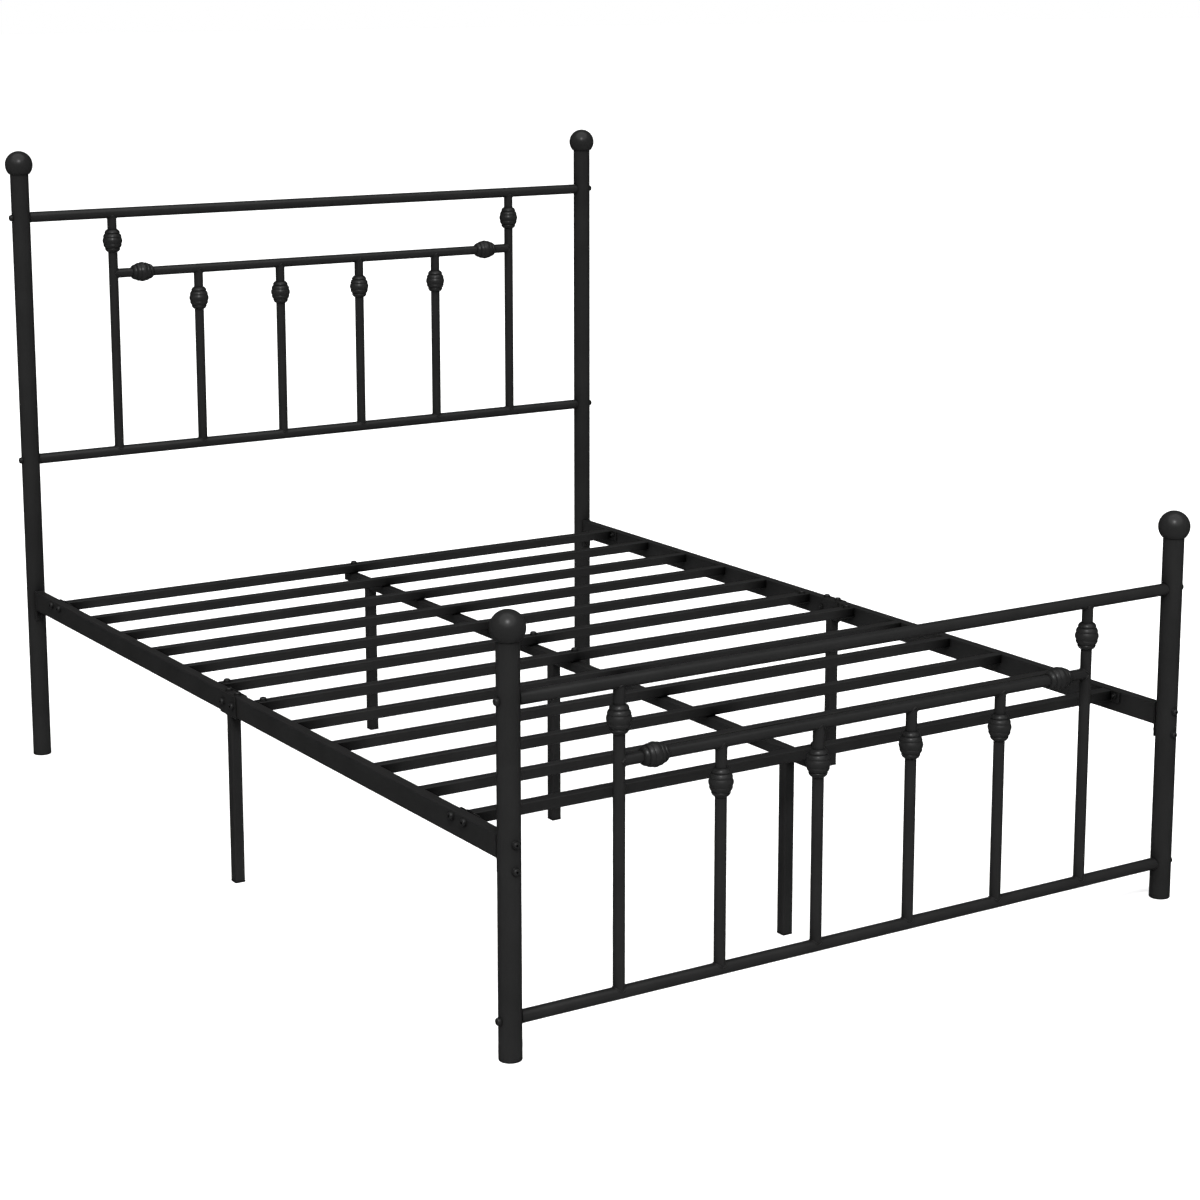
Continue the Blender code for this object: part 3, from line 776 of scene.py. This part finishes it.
def make_flange_bolts():
    """Two bolts through each side rail into each end slat's flange, nuts inside."""
    shapes = []
    z = RAIL_TOP - FLANGE_BOLT_DROP
    for number in (1, SLAT_COUNT):
        for side, sign in SIDES.items():
            out = X_AXIS * sign
            seat_x = post_axis("head", side)[0] + sign * RAIL_WIDTH / 2
            nut_x = sign * (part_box(f"slat_{number:02d}")[1].x - FLANGE_THICKNESS)
            for offset in (-FLANGE_BOLT_REACH, FLANGE_BOLT_REACH):
                y = SLAT_PLACES[number] + offset
                shapes.append(dome_head((seat_x, y, z), out))
                shapes.append(hex_nut((nut_x, y, z), -out, scale=0.9))
                shapes.append(shank((seat_x, y, z), (nut_x, y, z)))
    piece("flange_bolts", shapes, "black_oxide_steel")


# Legs and beam ------------------------------------------------------------------------------
def leg_tube(node, top):
    """A square tube from the node's lowest point up to a given height."""
    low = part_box(node)[0]
    x, y = middle(node).x, middle(node).y
    return box_tube((x, y, low.z), (x, y, top), Y_AXIS, LEG_WIDTH, LEG_WIDTH, SQUARE_CORNER)


def make_centre_leg(label):
    """A square leg whose top plate stands just under the beam."""
    node = f"leg_centre_{label}"
    beam_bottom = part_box("centre_beam_head")[0].z
    x, y = middle(node).x, middle(node).y
    half = PLATE_WIDTH / 2
    plate = soft_block((x - half, y - half, beam_bottom - 0.0018),
                       (x + half, y + half, beam_bottom - 0.0002), SMALL_EDGE)
    piece(f"{node}_tube", [leg_tube(node, beam_bottom - 0.0012), plate], nodes=[node])


def saddle_outline(width, bottom, top, sheet, steps=4):
    """The U of a folded saddle, with walls of the given thickness."""
    half, bend, base = width / 2, SADDLE_BEND, bottom + SADDLE_WALL
    points = [(half, top), (half - sheet, top)]
    points += [(half - sheet, base), (sheet - half, base)]
    points += [(sheet - half, top), (-half, top)]
    for sign in (-1, 1):
        for k in range(steps + 1):
            angle = math.pi / 2 * (k / steps if sign < 0 else 1.0 - k / steps)
            points.append((sign * (half - bend + bend * math.cos(angle)),
                           bottom + bend - bend * math.sin(angle)))
    return points


def make_side_leg(side):
    """A square leg under a U-shaped saddle, with its bolts through the rail."""
    node = f"leg_{side}"
    low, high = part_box(node)
    x = middle(node).x
    bottom = RAIL_BOTTOM - TOUCH_GAP - SADDLE_WALL
    thin, full = SADDLE_WALL * 0.4, SADDLE_WALL
    half, inner = high.y, high.y - SADDLE_REBATE
    stations = ((-half, thin), (-inner, thin), (-inner, full),
                (inner, full), (inner, thin), (half, thin))
    saddle = skin([[Vector((x + px, y, pz))
                    for px, pz in saddle_outline(high.x - low.x, bottom, high.z, sheet)]
                   for y, sheet in stations])
    collar = [Vector((x + px, py, bottom - 0.0001))
              for px, py in rounded_outline(LEG_WIDTH, LEG_WIDTH, SQUARE_CORNER, 10)]
    piece(f"{node}_tube", [leg_tube(node, bottom), bead(collar, COLLAR_WELD)], nodes=[node])
    piece(f"{node}_saddle", [saddle], nodes=[node])
    sign = SIDES[side]
    out = X_AXIS * sign
    outer_x, inner_x = (high.x, low.x) if sign > 0 else (low.x, high.x)
    z = RAIL_TOP - SIDE_BOLT_DROP
    bolts = []
    for y in (-SIDE_BOLT_REACH, SIDE_BOLT_REACH):
        bolts.append(dome_head((outer_x, y, z), out))
        bolts.append(hex_nut((inner_x, y, z), -out, scale=0.9))
    for y in (-TOP_BOLT_REACH, TOP_BOLT_REACH):
        bolts.append(dome_head((x, y, RAIL_TOP), Z_AXIS))
        bolts.append(hex_nut((x, y * 1.12, bottom), -Z_AXIS, tail=0.002, scale=0.75))
    piece(f"saddle_bolts_{side}", bolts, "black_oxide_steel")


def make_leg_cap(node):
    """A moulded foot with a rounded rim and a plug in the tube."""
    low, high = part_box(node)
    foot = soft_block(low, (high.x, high.y, low.z + LEG_CAP_THICKNESS), 0.0012, 4)
    inset = TUBE_WALL + TOUCH_GAP
    plug = soft_block((low.x + inset, low.y + inset, low.z + LEG_CAP_THICKNESS / 2),
                      (high.x - inset, high.y - inset, high.z), 0.0006)
    piece(f"{node}_moulding", [foot, plug], "black_plastic", [node])


def make_beam(end):
    """Half of the square tube under the slats."""
    node = f"centre_beam_{end}"
    low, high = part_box(node)
    x, z = middle(node).x, middle(node).z
    size = high.z - low.z
    tube = box_tube((x, low.y, z), (x, high.y, z), Z_AXIS, size, size, SQUARE_CORNER)
    piece(f"{node}_tube", [tube], nodes=[node])


# Bolts at the posts -------------------------------------------------------------------------
def make_panel_bolt(end, side, row):
    """A bolt through the post along X, into the end of a grille rail."""
    node = f"panel_bolt_{end}_{side}_{row}"
    low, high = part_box(node)
    sign = SIDES[side]
    seat, tip = middle(node), middle(node)
    seat.x = post_axis(end, side)[0] + sign * POST_RADIUS
    tip.x = low.x if sign > 0 else high.x
    shapes = [dome_head(seat, X_AXIS * sign), shank(seat, tip)]
    piece(f"{node}_hardware", shapes, "black_oxide_steel", [node])


def make_corner_bolt(end, side, which):
    """A bolt through the post along Y, with its nut behind the rail's plate."""
    node = f"corner_bolt_{end}_{side}_{which}"
    sign = ENDS[end]
    y = post_axis(end, side)[1]
    seat, nut_seat = middle(node), middle(node)
    seat.y = y + sign * POST_RADIUS
    nut_seat.y = y - sign * (POST_RADIUS + PLATE_THICKNESS + 0.0005)
    shapes = [dome_head(seat, Y_AXIS * sign, SMALL_HEAD), hex_nut(nut_seat, -Y_AXIS * sign),
              shank(seat, nut_seat)]
    piece(f"{node}_hardware", shapes, "black_oxide_steel", [node])


# Assembly -----------------------------------------------------------------------------------
def build():
    """Every piece of the bed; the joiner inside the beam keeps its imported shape."""
    for end in ENDS:
        for side in SIDES:
            make_post(end, side)
            make_post_cap(end, side)
            make_finial(end, side)
            make_side_rail(end, side)
            for row in ("top", "bottom"):
                make_panel_bolt(end, side, row)
            for which in ("lower", "upper"):
                make_corner_bolt(end, side, which)
        make_beam(end)
    make_grille("head", "headboard_grille")
    make_grille("foot", "footboard_grille")
    for number in range(1, SLAT_COUNT + 1):
        make_slat(number)
    make_ledges()
    make_slat_bolts()
    make_flange_bolts()
    for label in CENTRE_LEGS:
        make_centre_leg(label)
    for side in SIDES:
        make_side_leg(side)
        make_leg_cap(f"leg_cap_{side}")
    for label in CENTRE_LEGS:
        make_leg_cap(f"leg_cap_centre_{label}")
    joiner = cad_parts["centre_beam_joiner"]
    joiner.data.materials.clear()
    joiner.data.materials.append(MATERIALS["black_oxide_steel"])


make_studio(make_camera())
build()
